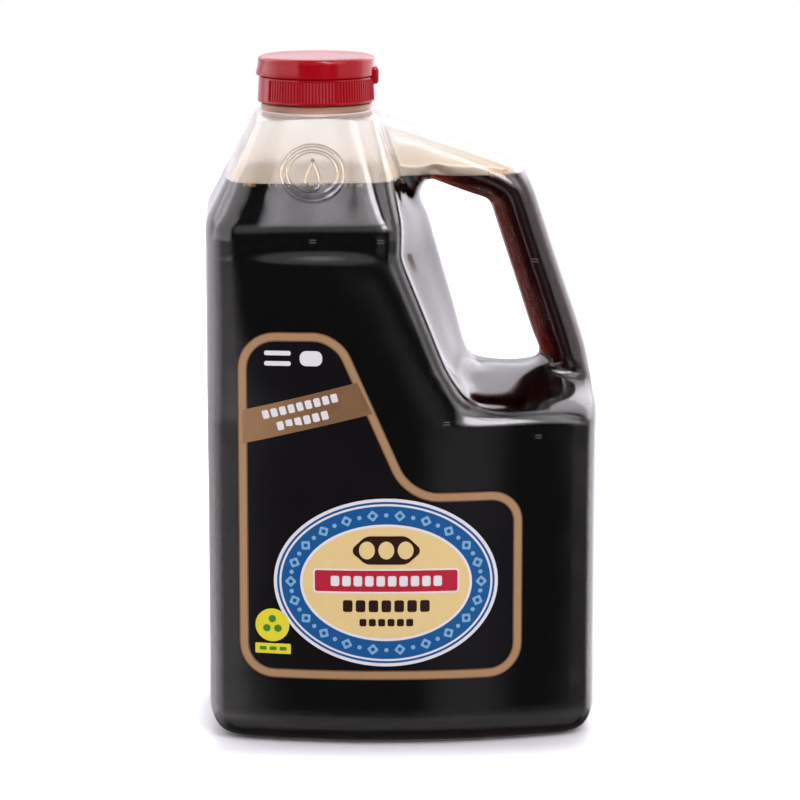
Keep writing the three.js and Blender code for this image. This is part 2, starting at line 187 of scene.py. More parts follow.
# Rings of the oval: name, ink, and how far inside the oval's edge
OVAL_RINGS = [("rim", "white", 0), ("line", "blue", 1.1), ("gap", "white", 1.9), ("ring", "blue", 2.6),
              ("field_rim", "white", 9.0), ("field", "cream", 9.9)]

PRINT_SHADE = 0.62  # how much darker the inks are than they look under the studio's lights

# Inks: colour, roughness, metallic, and the deeper colour an ink turns to from BAND_SHADE_X on
INKS = {
    "bronze": ((186, 146, 104), 0.3, 0.15),
    "deep_bronze": ((120, 86, 56), 0.3, 0.15),
    "shaded_bronze": ((164, 124, 84), 0.3, 0.15, (112, 78, 48)),
    "white": ((236, 232, 234),),
    "blue": ((8, 88, 150),),
    "pale_blue": ((130, 180, 215),),
    "cream": ((238, 208, 142),),
    "red": ((192, 22, 50),),
    "dark": ((48, 22, 14),),
    "yellow": ((235, 222, 40),),
    "green": ((70, 140, 40),),
}

# Middle of the shoulder's crest, and half its sizes: outer ring, inner ring, drop
CREST_X, CREST_Z = -31.0, 197.6
CREST_OUTER = (10.6, 8.6)
CREST_INNER = (8.6, 6.8)
CREST_DROP = (3.4, 4.6)
CREST_BEAD = 0.7

# Pairs of mould marks: x and z of each pair, half the space between the bars, and a bar's sizes
MOULD_MARKS = [(-31.4, 175.9), (-8.6, 175.6), (13.8, 113.6), (45.4, 107.9), (46.4, 164.2)]
MARK_SPACE = 0.45
MARK_BAR = (2.2, 0.3, 0.22)

# Froth: x from and to, how far it rises over the sauce, and how many bubbles
FROTH = [
    (-55.0, -50.0, 1.2, 16), (-37.0, -27.0, 0.9, 22), (30.5, 37.0, 2.4, 44),
    (-46.0, -38.0, 0.5, 6), (-22.0, -14.0, 0.5, 5)]

# Bright fields of the studio that the jug mirrors: degrees round from the front to the right, degrees up,
# softness of the edges round and up, and brightness
FIELDS = {
    "front_top": ((-1, 30), (40, 80), (3, 22), 2.4),
    "front_top_right": ((5, 30), (46, 80), (8, 14), 1.3),
    "front_streak": ((17, 33), (44, 72), (6, 6), 9.0),
    "front_right_top": ((44, 90), (44, 70), (10, 10), 2.1),
    "front_right": ((16, 60), (14, 50), (16, 16), 2.2),
    "front_right_spot": ((20, 33), (21, 38), (6, 6), 8.0),
    "step": ((-30, 30), (11, 46), (10, 14), 0.55),
    "right_sheen": ((8, 24), (-30, 0), (8, 8), 0.2),
    "left": ((-125, -37), (-7, 66), (4, 4), 1.5),
    "right": ((41, 108), (-9, 40), (10, 10), 0.9),
    "left_low": ((-140, -84), (-40, -8), (30, 30), 1.0),
    "left_low_wide": ((-100, -34), (-40, -6), (24, 24), 0.6),
    "right_low": ((92, 118), (-40, -8), (14, 14), 0.9),
    "right_low_dim": ((40, 92), (-40, -8), (12, 12), 0.2),
    "back_high": ((110, 190), (14, 66), (8, 8), 1.3),
    "back_high_left": ((-190, -110), (14, 66), (8, 8), 1.3),
    "back_right": ((104, 165), (-22, 34), (8, 8), 1.3),
    "near_floor": ((-80, 80), (-60, -22), (8, 8), 0.4),
}


def mix(a, b, t):
    """The number a share of the way from a to b."""
    return a + (b - a) * t


def ramp(value, start, end):
    """How far a value is from start to end, kept within 0 and 1."""
    return min(1.0, max(0.0, (value - start) / (end - start)))


def between(p, q, t):
    """The place a share of the way from p to q."""
    return tuple(mix(a, b, t) for a, b in zip(p, q))


def curve_mid(p, corner, q):
    """Middle of a quadratic curve from p to q."""
    return tuple(0.25 * a + 0.5 * b + 0.25 * c for a, b, c in zip(p, corner, q))


def panel_y(x, radius, depth):
    """Front of a bulge of this radius whose middle lies at this depth."""
    return radius - depth - math.sqrt(radius ** 2 - x ** 2)


def front_at(z, step=0.0, radius=PANEL_RADIUS):
    """Front of the body at height z. Its bulge moves over as the panel narrows."""
    up = ramp(z, BLOCK_TOP, PANEL_TOP)
    middle = mix(0.0, UPPER_MIDDLE, up)
    depth = mix(HALF_DEPTH, UPPER_HALF_DEPTH, up) - step
    return lambda x: panel_y(x - middle, radius, depth)


def ridge_x(z):
    """Edge of the upper panel by the handle's web, at height z."""
    return mix(*RIDGE_X, ramp(z, BLOCK_TOP, PANEL_TOP))


def nose_x(z):
    """The web's inner edge, at height z."""
    return mix(*NOSE_X, ramp(z, BLOCK_TOP, NOSE_TOP))


def block_row(z, inset=0.0, recess=0.0):
    """Half a plan of the lower body, from the left to the right middle, as (x, y, z) places."""
    left, right = LEFT + inset, RIGHT - inset
    depth, side = HALF_DEPTH - inset, SIDE_FLAT - 0.4 * inset

    def y(x, share=0.0):
        return panel_y(x, PANEL_RADIUS, depth - share * recess)

    first, last = left + CORNER, right - CORNER
    even, inner, outer = BLOCK_X
    second, third, fourth = (mix(first, even, share) for share in ACROSS)
    places = [(left, 0), (left, SIDE_Y), (left, -side)]
    places.append(curve_mid((left, -side), (left, y(left)), (first, y(first))))
    places += [(first, y(first, 0.2)), (second, y(second, 0.8))]
    columns = (third, fourth, even - 0.2 * inset, inner - 0.3 * inset, outer - 0.5 * inset)
    places += [(x, y(x, 1)) for x in columns]
    places.append((last, y(last, 0.4)))
    places.append(curve_mid((last, y(last)), (right, y(right)), (right, -side)))
    places += [(right, -22 + 0.3 * inset), (right, -10), (right, 0)]
    return [(px, py, z) for px, py in places]


def upper_row(z, step=0.0, radius=PANEL_RADIUS):
    """Half a plan of the body over the block, with the ridge and the nose of the handle's web."""
    y = front_at(z, step, radius)
    outer = front_at(z)
    left, ridge, nose = LEFT, ridge_x(z), nose_x(z)
    first, last = left + CORNER, ridge - RIDGE_ROUND
    second, third, fourth = (mix(first, last, share) for share in ACROSS)
    places = [(left, 0), (left, SIDE_Y), (left, -SIDE_FLAT)]
    places.append(curve_mid((left, -SIDE_FLAT), (left, outer(left)), (first, outer(first))))
    places.append((first, mix(outer(first), y(first), 0.2)))
    places.append((second, mix(outer(second), y(second), 0.8)))
    places += [(x, y(x)) for x in (third, fourth)]
    places.append((last, mix(outer(last), y(last), 0.5)))
    back = outer(ridge) + RIDGE_ROUND
    places.append(curve_mid((last, outer(last)), (ridge, outer(ridge)), (ridge, back)))
    foot = ridge - 0.2
    places += [(ridge, back), (foot, -33)]
    web = ((0.32, -23), (0.63, -13), (0.86, -6.3), (1, 0))
    places += [(mix(foot, nose, share), py) for share, py in web]
    return [(px, py, z) for px, py in places]


def top_row(half, corner, z):
    """Half a plan of the shoulder's top: a rounded square about the neck."""
    left, right = NECK_X - half, NECK_X + half
    places = [(left, 0), (left, (corner - half) * 0.55), (left, corner - half)]
    places.append(curve_mid((left, corner - half), (left, -half), (left + corner, -half)))
    places += [(mix(left + corner, right - corner, t), -half) for t in (0, *ACROSS, 1)]
    places.append(curve_mid((right - corner, -half), (right, -half), (right, corner - half)))
    places += [(right, (corner - half) * t) for t in (1, 0.92, 0.85, 0.75, 0.4, 0)]
    return [(px, py, z) for px, py in places]


def circle_row(radius, z):
    """Half a circle about the neck, with the columns at the angles where the shoulder has them."""
    turns = [math.radians(a) for a in NECK_ANGLES]
    return [(NECK_X + radius * math.cos(a), radius * math.sin(a), z) for a in turns]


def blend_rows(a, b, t, z):
    """A row between two others, at height z."""
    row = [between(p, q, t) for p, q in zip(a, b)]
    return [(x, y, z) for x, y, _ in row]


def with_tail(row, tail):
    """A row with its last columns put elsewhere."""
    return row[:-len(tail)] + list(tail)


def body_rows():
    """All rows of the body from the push-up to the mouth, named where the handle needs them."""
    rows = {name: block_row(*sizes) for name, sizes in BLOCK_ROWS.items()}
    for name, (z, *tail) in ROOF_ROWS.items():
        rows[name] = with_tail(upper_row(z), tail)
    for name, z in (("web_1", 133), ("web_2", 143), ("web_3", 155), ("web_4", 165)):
        rows[name] = upper_row(z)

    rows["panel_top"] = upper_row(PANEL_TOP + 0.8, 0.3)
    rows["band_low"] = upper_row(PANEL_TOP + 4.2, SHOULDER_STEP, SHOULDER_RADIUS)
    rows["break_low"] = upper_row(BREAK - 2.2, SHOULDER_STEP, SHOULDER_RADIUS)
    break_row = upper_row(BREAK, SHOULDER_STEP, SHOULDER_RADIUS)
    end = SHOULDER_TOP - 1
    top = top_row(21.0, 8.5, end)
    rows["break_high"] = blend_rows(break_row, top, 0.055, BREAK + 1.8)
    for name, (z, *tail) in ARM_STUB_ROWS.items():
        rows[name] = with_tail(blend_rows(break_row, top, ramp(z, BREAK, end), z), tail)
    rows["shoulder_end"] = with_tail(top_row(20.6, 8.8, SHOULDER_TOP - 0.4), SHOULDER_END)

    rows["neck_foot"] = circle_row(COLLAR_RADIUS + 0.2, SHOULDER_TOP + 0.3)
    rows["collar_low"] = circle_row(COLLAR_RADIUS, SHOULDER_TOP + 1.1)
    rows["collar_high"] = circle_row(COLLAR_RADIUS, COLLAR_TOP - 0.5)
    rows["collar_top"] = circle_row(COLLAR_RADIUS - 0.6, COLLAR_TOP)
    rows["neck_low"] = circle_row(NECK_RADIUS, COLLAR_TOP + 0.3)
    rows["neck_high"] = circle_row(NECK_RADIUS, NECK_TOP - 1)
    rows["mouth"] = circle_row(NECK_RADIUS, NECK_TOP)
    return rows


def mirrored(place, back):
    """The place itself, or its like on the back."""
    return (place[0], -place[1], place[2]) if back else place


def station_place(station, part, column, back):
    """Place of one point of the handle's section at a station."""
    inner, outer, width = STATIONS[station]
    share, y = SECTION[(part, column)]
    x, z = between(inner, outer, share)
    return mirrored((x, y * width, z), back)


def in_scene(name, data):
    """An object of the scene that holds this mesh, curve, light or camera."""
    thing = bpy.data.objects.new(name, data)
    bpy.context.scene.collection.objects.link(thing)
    return thing


def evaluated(thing):
    """The object as its modifiers leave it."""
    return thing.evaluated_get(bpy.context.evaluated_depsgraph_get())


def subdivide(thing, levels):
    """Smooths an object by subdivision, alike in the view and the render."""
    smooth = thing.modifiers.new("smooth", "SUBSURF")
    smooth.levels = smooth.render_levels = levels


def extruded(bm, edges):
    """Extrudes a line of edges and returns the new verts and edges."""
    grown = bmesh.ops.extrude_edge_only(bm, edges=edges)["geom"]
    verts = [g for g in grown if isinstance(g, bmesh.types.BMVert)]
    new = set(verts)
    return verts, [g for g in grown if isinstance(g, bmesh.types.BMEdge) and set(g.verts) <= new]


class Cage:
    """The jug's outer face as a coarse mesh whose subdivided form passes through chosen places."""

    def __init__(self):
        self.bm = bmesh.new()
        self.column = self.bm.verts.layers.int.new("column")
        self.part = self.bm.verts.layers.int.new("part")
        self.back = self.bm.verts.layers.int.new("back")
        self.row = self.bm.verts.layers.int.new("row")
        self.place = self.bm.verts.layers.float_vector.new("place")

    def put(self, vert, place):
        """Moves a coarse point and notes the place its smooth form has to pass through."""
        vert.co = place
        vert[self.place] = place

    def body(self, rows):
        """Grows the body's rings from the push-up to the mouth."""
        names = list(rows)
        made = bmesh.ops.create_circle(self.bm, cap_ends=True, segments=ROUND, radius=1)
        ring = sorted(made["verts"], key=lambda v: math.atan2(v.co.y, v.co.x) % math.tau)
        ring = ring[LAST:] + ring[:LAST]
        for i, vert in enumerate(ring):
            vert[self.back] = int(i > LAST)
            vert[self.column] = ROUND - i if i > LAST else i
        edges = self.bm.edges[:]
        for number, name in enumerate(names):
            if number:
                ring, edges = extruded(self.bm, edges)
            for vert in ring:
                vert[self.row] = number
                self.put(vert, mirrored(rows[name][vert[self.column]], vert[self.back]))
        self.names = names

    def cut_hole(self, low, high):
        """Opens the stub between two named rows and returns its edges."""
        first, last = self.names.index(low), self.names.index(high)

        def inside(vert):
            in_rows = first <= vert[self.row] <= last
            return in_rows and vert[self.column] >= HOLE_COLUMN and vert[self.part] == 0

        faces = [f for f in self.bm.faces if all(inside(v) for v in f.verts)]
        bmesh.ops.delete(self.bm, geom=faces, context="FACES")
        return [e for e in self.bm.edges if len(e.link_faces) == 1 and all(inside(v) for v in e.verts)]

    def handle(self):
        """Grows the grip from its stub through the stations and joins it to the arm's stub."""
        low_in, high_in = (self.names.index(n) for n in GRIP_ROWS)
        arm_edges = self.cut_hole(*ARM_ROWS)
        edges = self.cut_hole(*GRIP_ROWS)
        parts = (None, "in", "mid", "out")
        part_of_row = {low_in: 3, low_in + 1: 2, high_in: 1}
        for station in range(len(STATIONS)):
            verts, edges = extruded(self.bm, edges)
            for vert in verts:
                if station == 0:
                    vert[self.part] = part_of_row[vert[self.row]]
                part = parts[vert[self.part]]
                self.put(vert, station_place(station, part, vert[self.column], vert[self.back]))
        bmesh.ops.bridge_loops(self.bm, edges=edges + arm_edges)

    def fitted(self, rounds):
        """Moves the coarse points until the subdivided mesh passes through their places."""
        self.bm.verts.index_update()
        bmesh.ops.recalc_face_normals(self.bm, faces=self.bm.faces)
        mesh = bpy.data.meshes.new("jug_cage")
        self.bm.to_mesh(mesh)
        cage = in_scene("jug_cage", mesh)
        subdivide(cage, 2)
        wanted = [v[self.place].copy() for v in self.bm.verts]
        for _ in range(rounds):
            shown = evaluated(cage)
            for i, place in enumerate(wanted):
                mesh.vertices[i].co += place - shown.data.vertices[i].co
            mesh.update()
        self.bm.free()
        bpy.data.objects.remove(cage)
        return mesh


def jug_face(levels):
    """The jug's smooth outer face as a bmesh in millimetres, open at the mouth."""
    cage = Cage()
    cage.body(body_rows())
    cage.handle()
    mesh = cage.fitted(rounds=4)
    holder = in_scene("jug_face", mesh)
    subdivide(holder, levels)
    bm = bmesh.new()
    bm.from_mesh(evaluated(holder).data)
    bpy.data.objects.remove(holder)
    bpy.data.meshes.remove(mesh)
    return bm


class Value:
    """A number, colour or place in a shader. Arithmetic on a number adds Math nodes."""

    def __init__(self, finish, socket):
        self.finish = finish
        self.socket = socket

    def __add__(self, other):
        return self.finish.math("ADD", self, other)

    def __sub__(self, other):
        return self.finish.math("SUBTRACT", self, other)

    def __rsub__(self, other):
        return self.finish.math("SUBTRACT", other, self)

    def __mul__(self, other):
        return self.finish.math("MULTIPLY", self, other)

    __radd__ = __add__
    __rmul__ = __mul__

    def within(self, low, high, soft):
        """1 between two edges and 0 outside them, over a soft width."""
        return self.above(low, soft) * (1 - self.above(high, soft))

    def above(self, edge, soft):
        """0 below the edge and 1 above it, over a soft width."""
        return self.finish.node("ShaderNodeMapRange", {"interpolation_type": "SMOOTHSTEP"}, {
            "Value": self, "From Min": edge - soft / 2, "From Max": edge + soft / 2})


class Finish:
    """A node tree of a material or the world, and the one way that nodes are added to it."""

    def __init__(self, owner):
        owner.use_nodes = True
        self.owner = owner
        self.tree = owner.node_tree
        self.tree.nodes.clear()

    def node(self, kind, settings=None, values=(), output=0):
        """Makes a node, sets it, joins or fills its sockets and gives one of its outputs."""
        node = self.tree.nodes.new(kind)
        for key, value in (settings or {}).items():
            setattr(node, key, value)
        pairs = values.items() if isinstance(values, dict) else enumerate(values)
        for key, value in pairs:
            if isinstance(value, Value):
                self.tree.links.new(value.socket, node.inputs[key])
            else:
                node.inputs[key].default_value = value
        return Value(self, node.outputs[output]) if node.outputs else None

    def math(self, operation, *values):
        """A Math node."""
        return self.node("ShaderNodeMath", {"operation": operation}, values)

    def place(self):
        """Object coordinates in millimetres."""
        there = self.node("ShaderNodeTexCoord", output="Object")
        return self.node("ShaderNodeVectorMath", {"operation": "SCALE"}, {0: there, "Scale": 1 / MM})

    def stretched(self, where, scale):
        """Coordinates scaled by a share of their own along each axis."""
        return self.node("ShaderNodeMapping", values={"Vector": where, "Scale": scale})

    def axes(self, vector):
        """The three numbers of a place."""
        first = self.node("ShaderNodeSeparateXYZ", values=[vector])
        return [Value(self, socket) for socket in first.socket.node.outputs]

    def noise(self, where, scale, detail=2.0, rough=0.5):
        """A soft random pattern from 0 to 1."""
        return self.node("ShaderNodeTexNoise", values={
            "Vector": where, "Scale": scale, "Detail": detail, "Roughness": rough})

    def mixed(self, factor, a, b):
        """A colour between two others."""
        return self.node("ShaderNodeMix", {"data_type": "RGBA"}, {0: factor, 6: a, 7: b}, output=2)

    def bump(self, height, strength, distance):
        """Normals tilted by a height."""
        return self.node("ShaderNodeBump", values={
            "Height": height, "Strength": strength, "Distance": distance})

    def shader(self, **sockets):
        """A Principled shader, its sockets named with underscores for spaces."""
        names = {key.replace("_", " "): value for key, value in sockets.items()}
        return self.node("ShaderNodeBsdfPrincipled", values=names, output="BSDF")

    def finished(self, **shaders):
        """Joins shaders to the output's sockets and gives the material or world."""
        kind = "World" if isinstance(self.owner, bpy.types.World) else "Material"
        self.node(f"ShaderNodeOutput{kind}", values=shaders)
        return self.owner

    def surface(self, **sockets):
        """One Principled shader over the whole surface."""
        return self.finished(Surface=self.shader(**sockets))


def linear(colour):
    """Scene-linear RGBA of a colour given as 0 to 255 in sRGB."""
    def one(c):
        c /= 255
        return c / 12.92 if c <= 0.04045 else ((c + 0.055) / 1.055) ** 2.4
    return (*[one(c) for c in colour], 1.0)


def dimmed(colour, share):
    """A scene-linear colour with a share of its light."""
    return (*[c * share for c in colour[:3]], 1)


def new_finish(name):
    """The empty node tree of a new material."""
    return Finish(bpy.data.materials.new(name))


@cache
def clear_plastic():
    """Blown clear plastic: faint waves, some haze, and a tan film of sauce left on the empty shoulder."""
    finish = new_finish("blown_clear_plastic")
    where = finish.place()
    _, y, z = finish.axes(where)
    level = bpy.context.scene.jug_sizes.sauce_level / MM
    rinsed = z.above(level + 0.6, 1.6)
    high = z.above(level + 7, 16)

    waves = finish.noise(where, 0.035, 2)
    drops = finish.noise(where, 0.35, 4)
    seam = 1 - finish.math("ABSOLUTE", y).above(0.3, 0.5)
    height = waves + 0.004 * drops + 0.12 * seam
    scuffs = z.within(-1, 13, 4) * finish.noise(finish.stretched(where, (0.1, 0.1, 0.5)), 1.0, 5)
    haze = 0.16 * z.above(level + 6, 10)
    rough = 0.03 + 0.04 * finish.noise(where, 0.12, 3) + 0.22 * scuffs + haze
    tint = finish.mixed(high, linear((252, 243, 226)), linear((255, 252, 245)))
    plastic = finish.shader(Base_Color=finish.mixed(rinsed, (1, 1, 1, 1), tint), Roughness=rough, IOR=1.45,
                            Transmission_Weight=1.0, Normal=finish.bump(height, 0.25, 0.0012))

    streaks = finish.noise(finish.stretched(where, (0.16, 0.16, 0.03)), 1.0, 3)
    collar = z.within(SHOULDER_TOP + 0.4, COLLAR_TOP + 0.4, 0.8)
    cream = finish.mixed(high, linear((255, 234, 206)), linear((255, 248, 234)))
    cream = finish.mixed(collar, cream, linear((176, 132, 104)))
    film = finish.shader(Base_Color=cream, Roughness=0.3, IOR=1.4)
    share = rinsed * (0.1 + 0.05 * streaks) + 0.54 * collar
    return finish.finished(Surface=finish.node("ShaderNodeMixShader", values=[share, plastic, film]))


def sauce_finish():
    """Dark brown sauce, clear red where it is thin."""
    finish = new_finish("soy_sauce_liquid")
    colours = bpy.context.scene.jug_colours
    liquid = finish.shader(Base_Color=(1, 1, 1, 1), Roughness=0.0, IOR=1.2, Transmission_Weight=1.0)
    depth = finish.node("ShaderNodeVolumeAbsorption", values={
        "Color": (*colours.sauce, 1), "Density": colours.sauce_density})
    return finish.finished(Surface=liquid, Volume=depth)


def frosted_plastic():
    """Plastic left matt by the mould."""
    finish = new_finish("frosted_plastic")
    grain = finish.noise(finish.place(), 4.0, 2)
    shade = finish.mixed(grain, linear((66, 64, 72)), linear((104, 102, 110)))
    return finish.surface(Base_Color=shade, Roughness=0.3 + 0.2 * grain, IOR=1.45)


def froth():
    """Thin amber skins of bubbles."""
    finish = new_finish("amber_froth")
    patchy = finish.noise(finish.place(), 0.8, 2)
    amber = finish.mixed(patchy, linear((212, 140, 66)), linear((255, 232, 188)))
    rough = 0.06 + 0.06 * patchy
    return finish.surface(Base_Color=amber, Roughness=rough, IOR=1.33, Transmission_Weight=0.2)


@cache
def red_plastic():
    """Satin red moulded plastic with fine flow marks and a fine grain."""
    finish = new_finish("moulded_red_plastic")
    where = finish.place()
    flow = finish.noise(finish.stretched(where, (1, 1, 0.3)), 0.22, 3)
    grain = finish.noise(where, 3.5, 2)
    red = (*bpy.context.scene.jug_colours.cap, 1)
    rough = 0.07 + 0.07 * finish.noise(where, 0.6, 4)
    return finish.surface(Base_Color=finish.mixed(flow, dimmed(red, 0.8), red), Roughness=rough, IOR=1.4,
                          Normal=finish.bump(grain, 0.06, 0.0002))


def printed(name, colour, roughness=0.24, metallic=0.0, deeper=None):
    """A colour with the mottle and grain of ink on film, even or deeper from BAND_SHADE_X on."""
    finish = new_finish(name)
    where = finish.place()
    mottle = finish.noise(where, 0.3, 4)
    grain = finish.noise(where, 6.0, 1)
    lit = dimmed(linear(colour), PRINT_SHADE)
    dim = dimmed(lit, 0.86)
    if deeper:
        further = finish.axes(where)[0].above(BAND_SHADE_X, 20)
        lit = finish.mixed(further, lit, dimmed(linear(deeper), PRINT_SHADE))
    shade = finish.mixed(0.65 * mottle + 0.35 * grain, dim, lit)
    rough = (roughness - 0.05) + 0.1 * grain
    return finish.surface(Base_Color=shade, Roughness=rough, Metallic=metallic, IOR=1.45,
                          Normal=finish.bump(grain, 0.05, 0.0001))


@cache
def ink(name):
    """The ink of this name, made once for both labels."""
    return printed("ink_" + name, *INKS[name])


@cache
def label_film():
    """Smooth black film."""
    finish = new_finish("black_label_film")
    where = finish.place()
    haze = finish.noise(where, 0.05, 3)
    grain = finish.noise(where, 5.0, 1)
    base = finish.mixed(haze, linear((8, 7, 8)), linear((14, 12, 14)))
    return finish.surface(Base_Color=base, Roughness=0.1 + 0.08 * haze, IOR=1.4,
                          Normal=finish.bump(grain, 0.04, 0.0001))


def piece_from(name, bm, material, body="jug", node=None, sharp=None):
    """Makes a bmesh in millimetres a piece that rides on a body and may stand for a CAD node."""
    bmesh.ops.scale(bm, vec=(MM, MM, MM), verts=bm.verts)
    mesh = bpy.data.meshes.new(name)
    bm.to_mesh(mesh)
    bm.free()
    mesh.shade_smooth()
    if sharp:
        mesh.set_sharp_from_angle(angle=math.radians(sharp))
    mesh.materials.append(material)
    piece = in_scene(name, mesh)
    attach(piece, body)
    if node:
        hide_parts(node)
    return piece


def cut(bm, place, normal, clear_outer=False):
    """Cuts a bmesh along a plane, and drops what lies past the plane where asked to."""
    everything = bm.verts[:] + bm.edges[:] + bm.faces[:]
    bmesh.ops.bisect_plane(bm, geom=everything, plane_co=place, plane_no=normal, clear_outer=clear_outer)


def stack(bm, segments, levels, cap_start=False, cap_end=False):
    """Rings about the neck's axis. A level is (z, radius), where a radius may be a function of the angle."""
    turn = bm.verts.layers.float.new("turn")
    ring = bmesh.ops.create_circle(bm, cap_ends=cap_start, segments=segments, radius=1)["verts"]
    for vert in ring:
        vert[turn] = math.atan2(vert.co.y, vert.co.x)
    edges = [e for e in bm.edges if all(v in ring for v in e.verts)]
    first = edges
    for number, (z, radius) in enumerate(levels):
        if number:
            ring, edges = extruded(bm, edges)
        for vert in ring:
            r = radius(vert[turn]) if callable(radius) else radius
            vert.co = (NECK_X + r * math.cos(vert[turn]), r * math.sin(vert[turn]), z)
    if cap_end:
        bmesh.ops.contextual_create(bm, geom=edges)
    elif not cap_start:
        bmesh.ops.bridge_loops(bm, edges=first + edges)


def rounded_block(bm, low, high, radius, flat):
    """A block between two corners, rounded at all edges but those of the face at the height called flat."""
    made = bmesh.ops.create_cube(bm, size=1)
    for vert in made["verts"]:
        vert.co = tuple(mix(a, b, c + 0.5) for a, b, c in zip(low, high, vert.co))
    edges = {e for v in made["verts"] for e in v.link_edges
             if any(abs(u.co.z - flat) > 0.01 for u in e.verts)}
    bmesh.ops.bevel(bm, geom=list(edges), offset=radius, affect="EDGES", segments=4, profile=0.5,
                    material=-1)


def hinge_block(bm, low, high, seam):
    """Half of the hinge, from one height to another, flat at the seam."""
    near, far = (HINGE_X - depth for depth in HINGE_DEPTH)
    rounded_block(bm, (near, -HINGE_HALF_WIDTH, low), (far, HINGE_HALF_WIDTH, high), HINGE_ROUND, seam)


def make_bottle():
    """The clear shell, its wall thickened inwards."""
    piece = piece_from("jug_wall", jug_face(levels=2), clear_plastic(), node="bottle")
    wall = piece.modifiers.new("wall", "SOLIDIFY")
    wall.thickness = bpy.context.scene.jug_sizes.wall
    wall.offset = -1
    wall.use_even_offset = True


def make_sauce():
    """Sauce up to its level. It reaches a little into the wall."""
    sizes = bpy.context.scene.jug_sizes
    bm = jug_face(levels=2)
    bm.normal_update()
    inward = sizes.wall / MM - SAUCE_OVERLAP
    for vert, normal in [(v, v.normal.copy()) for v in bm.verts]:
        vert.co -= normal * inward
    cut(bm, (0, 0, sizes.sauce_level / MM), (0, 0, 1), clear_outer=True)
    shore = [e for e in bm.edges if len(e.link_faces) == 1]
    bmesh.ops.triangle_fill(bm, use_beauty=True, edges=shore, normal=(0, 0, 1))
    piece_from("soy_sauce_fill", bm, sauce_finish(), node="soy_sauce", sharp=50)


def make_cap_base():
    """The ribbed part of the cap with its deck, spout and half of the hinge."""
    plain_left, plain_right = math.radians(PLAIN_BY_LIP), math.radians(PLAIN_BY_HINGE)

    def ribbed(radius, depth):
        def at(turn):
            if math.pi - abs(turn) < plain_left or abs(turn) < plain_right:
                return radius
            step = round(turn / math.tau * RIBS * 3) % 3
            return radius - (0.0 if step == 0 else depth)
        return at

    deck, spout = SEAM + 1.4, SEAM + 3.0
    plug_seat, inner, bore = NECK_TOP + 0.35, NECK_RADIUS + 0.35, 2.4
    low, high = CAP_BOTTOM, SEAM - 0.12
    levels = [
        (low, inner), (low, 19.9), (low + 0.15, 20.3), (low + 0.5, 20.5), (low + 0.9, 20.48),
        (low + 1.1, ribbed(20.45, 0.3)), (high - 0.95, ribbed(20.05, 0.3)), (high - 0.8, 20.03),
        (high - 0.3, 19.98), (high, 19.7), (high, 18.2), (deck, 17.9), (deck, 4.6), (spout, 4.0),
        (spout, bore), (plug_seat, bore), (plug_seat, inner),
    ]
    bm = bmesh.new()
    stack(bm, RIBS * 3, levels)
    bmesh.ops.recalc_face_normals(bm, faces=bm.faces)
    hinge_block(bm, SEAM - HINGE_HEIGHT, SEAM, SEAM)
    piece_from("cap_grip", bm, red_plastic(), node="cap_base", sharp=32)


def make_cap_lid():
    """The flip-top lid with its plug, its thumb lip and half of the hinge."""
    roof, skirt, plug = CAP_TOP - 1.7, 18.8, 1.9
    fade_from, fade_to = (math.radians(angle) for angle in LIP_FADE)

    def lip(radius, proud):
        def at(turn):
            share = ramp(math.pi - abs(turn), fade_from, fade_to)
            return radius + proud * (share * share * (3 - 2 * share))
        return at

    levels = [
        (SEAM + 0.9, plug), (roof, plug), (roof, skirt), (SEAM + 0.05, skirt),
        (SEAM + 0.05, lip(20.05, 0.5)), (SEAM + 0.3, lip(20.3, 0.65)), (SEAM + 1.1, lip(20.34, 0.7)),
        (SEAM + 1.7, lip(20.34, 0.5)),
        (SEAM + 3.2, lip(20.34, 0.15)), (SEAM + 4.4, 20.32), (CAP_TOP - 1.3, 20.28), (CAP_TOP - 0.8, 20.1),
        (CAP_TOP - 0.4, 19.7), (CAP_TOP - 0.12, 19.1), (CAP_TOP - 0.02, 18.4), (CAP_TOP - 0.14, 17.6),
        (CAP_TOP - 0.16, 8.0), (CAP_TOP - 0.18, 0.8),
    ]
    bm = bmesh.new()
    stack(bm, 192, levels, cap_start=True, cap_end=True)
    bmesh.ops.recalc_face_normals(bm, faces=bm.faces)
    low = SEAM + SEAM_GAP
    hinge_block(bm, low, SEAM + HINGE_HEIGHT, low)
    piece_from("cap_flip_lid", bm, red_plastic(), body="lid", node="cap_lid", sharp=32)


@cache
def jug_tree():
    """The jug's outer face, for laying things on it."""
    bm = jug_face(levels=3)
    tree = BVHTree.FromBMesh(bm)
    bm.free()
    return tree


def on_jug(x, z, lift, side=-1):
    """Place on the jug's front, or on its back where the side is 1, lifted off the face."""
    hit, normal, _, _ = jug_tree().ray_cast(Vector((x, side * WELL_OUTSIDE, z)), Vector((0, -side, 0)))
    if hit is None:
        raise RuntimeError(f"nothing of the jug is at x {x} and z {z}")
    return hit + normal * lift


def outline(bm, corners):
    """A flat face with round corners, from (x, z, radius)."""
    verts = [bm.verts.new((x, 0, z)) for x, z, _ in corners]
    bm.faces.new(verts)
    reaches = []
    for i, vert in enumerate(verts):
        a = (verts[i - 1].co - vert.co).normalized()
        b = (verts[(i + 1) % len(verts)].co - vert.co).normalized()
        reaches.append(corners[i][2] / math.tan(a.angle(b) / 2))
    for vert, reach in zip(verts, reaches):
        if reach > 0:
            bmesh.ops.bevel(bm, geom=[vert], offset=reach, affect="VERTICES", segments=8, profile=0.5,
                            material=-1)


def rim(bm, inset, width):
    """The label's outline, drawn in by a distance and only a rim of this width."""
    outline(bm, shrunk(LABEL_OUTLINE, inset))
    made = bmesh.ops.inset_region(bm, faces=bm.faces[:], thickness=width, use_boundary=True,
                                  use_even_offset=True)
    inner = [f for f in bm.faces if f not in made["faces"]]
    bmesh.ops.delete(bm, geom=inner, context="FACES")


